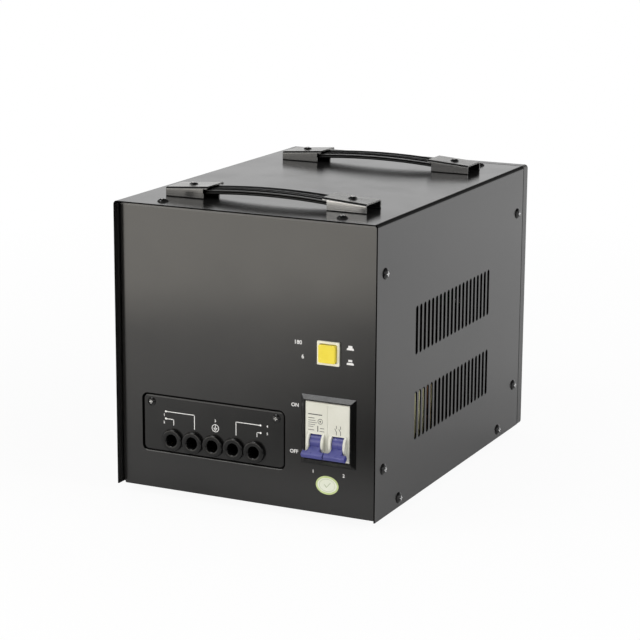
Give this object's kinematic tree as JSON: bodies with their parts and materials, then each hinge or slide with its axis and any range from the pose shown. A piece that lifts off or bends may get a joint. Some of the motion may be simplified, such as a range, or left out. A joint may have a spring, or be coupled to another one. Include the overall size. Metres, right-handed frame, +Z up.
{
  "type": "voltage stabilizer",
  "caption": "Free-standing voltage stabilizer: vented sheet-steel cabinet with strap handles, a circuit breaker, a delay button and a cable entry lid.",
  "frame": {"origin": "on the ground, under the middle of the overall width and depth", "axes": "+X to the right across the terminal panel, +Y from the terminal panel to the fascia, +Z up"},
  "size_m": [0.2246, 0.3104, 0.2413],
  "materials": {
    "cabinet_paint": "semi-gloss black stove enamel",
    "black_screw": "black plated",
    "foot_rubber": "matt black",
    "zinc_steel": "zinc plated",
    "fascia_plastic": "satin black",
    "smoked_window": "smoked, clear",
    "display_board_green": "solder mask",
    "display_plastic": "dark red filter",
    "lamp_lens": "tinted lens",
    "spacer_plastic": "natural nylon",
    "box_plastic": "matt black",
    "lid_paint": "semi-gloss black enamel",
    "grommet_rubber": "smooth black",
    "block_plastic": "matt black phenolic",
    "clamp_brass": "plain",
    "bezel_plastic": "smooth black",
    "breaker_ivory": "ivory white",
    "pin_steel": "ground",
    "lever_blue": "smooth blue",
    "rail_steel": "zinc plated",
    "bracket_steel": "zinc plated",
    "button_white": "smooth white",
    "switch_plastic": "natural",
    "button_yellow": "smooth yellow",
    "core_steel": "wound strip",
    "winding_copper": "copper under yellow tape",
    "pad_rubber": "matt black",
    "dish_steel": "yellow zinc plated",
    "board_green": "solder mask",
    "relay_plastic": "smooth blue",
    "can_black": "sleeved can",
    "plug_white": "natural",
    "strap_plastic": "satin black",
    "cap_nickel": "brushed dark nickel",
    "handle_screw_steel": "dark plated"
  },
  "bodies": {
    "cabinet": {"chassis": "cabinet_paint", "cover": "cabinet_paint", "cover_screws": "black_screw", "feet": "foot_rubber", "foot_screws": "zinc_steel", "fascia": "fascia_plastic", "fascia_screws": "zinc_steel", "display_window": "smoked_window", "display_board": "display_board_green", "display_digits": "display_plastic", "indicator_lamps": "lamp_lens", "display_spacers": "spacer_plastic", "display_screws": "zinc_steel", "terminal_box": "box_plastic", "terminal_box_nuts": "zinc_steel", "terminal_lid": "lid_paint", "lid_screws": "black_screw", "cable_grommets": "grommet_rubber", "terminal_block": "block_plastic", "terminal_clamps": "clamp_brass", "terminal_clamp_screws": "zinc_steel", "breaker_bezel": "bezel_plastic", "breaker_poles": "breaker_ivory", "breaker_pins": "pin_steel", "breaker_terminal_screws": "zinc_steel", "mounting_rail": "rail_steel", "rail_bracket": "bracket_steel", "rail_bracket_screws": "zinc_steel", "delay_button_bezel": "button_white", "delay_switch_body": "switch_plastic", "delay_switch_pins": "clamp_brass", "toroid_core": "core_steel", "toroid_winding": "winding_copper", "toroid_pads": "pad_rubber", "toroid_dish": "dish_steel", "toroid_bolt": "zinc_steel", "toroid_nut": "zinc_steel", "board_bracket": "bracket_steel", "board_bracket_screws": "zinc_steel", "relay_board": "board_green", "relays": "relay_plastic", "board_capacitors": "can_black", "board_plugs": "plug_white", "board_standoffs": "spacer_plastic", "board_screws": "zinc_steel", "front_handle_strap": "strap_plastic", "rear_handle_strap": "strap_plastic", "front_handle_caps": "cap_nickel", "rear_handle_caps": "cap_nickel", "handle_screws": "handle_screw_steel", "handle_nuts": "zinc_steel"},
    "left_lever": {"breaker_lever_left": "lever_blue"},
    "right_lever": {"breaker_lever_right": "lever_blue"},
    "delay_button": {"delay_button_cap": "button_yellow"}
  },
  "joints": [
    {"name": "left_lever_turn", "type": "hinge", "parent": "cabinet", "child": "left_lever", "pos_m": [0.05972, -0.14039, 0.0613], "axis": [-1, 0, 0], "range_deg": [0, 64]},
    {"name": "right_lever_turn", "type": "hinge", "parent": "cabinet", "child": "right_lever", "pos_m": [0.07792, -0.14039, 0.0613], "axis": [-1, 0, 0], "range_deg": [0, 64]},
    {"name": "delay_button_push", "type": "slide", "parent": "cabinet", "child": "delay_button", "axis": [0, 1, 0], "range_m": [0, 0.0022]}
  ]
}
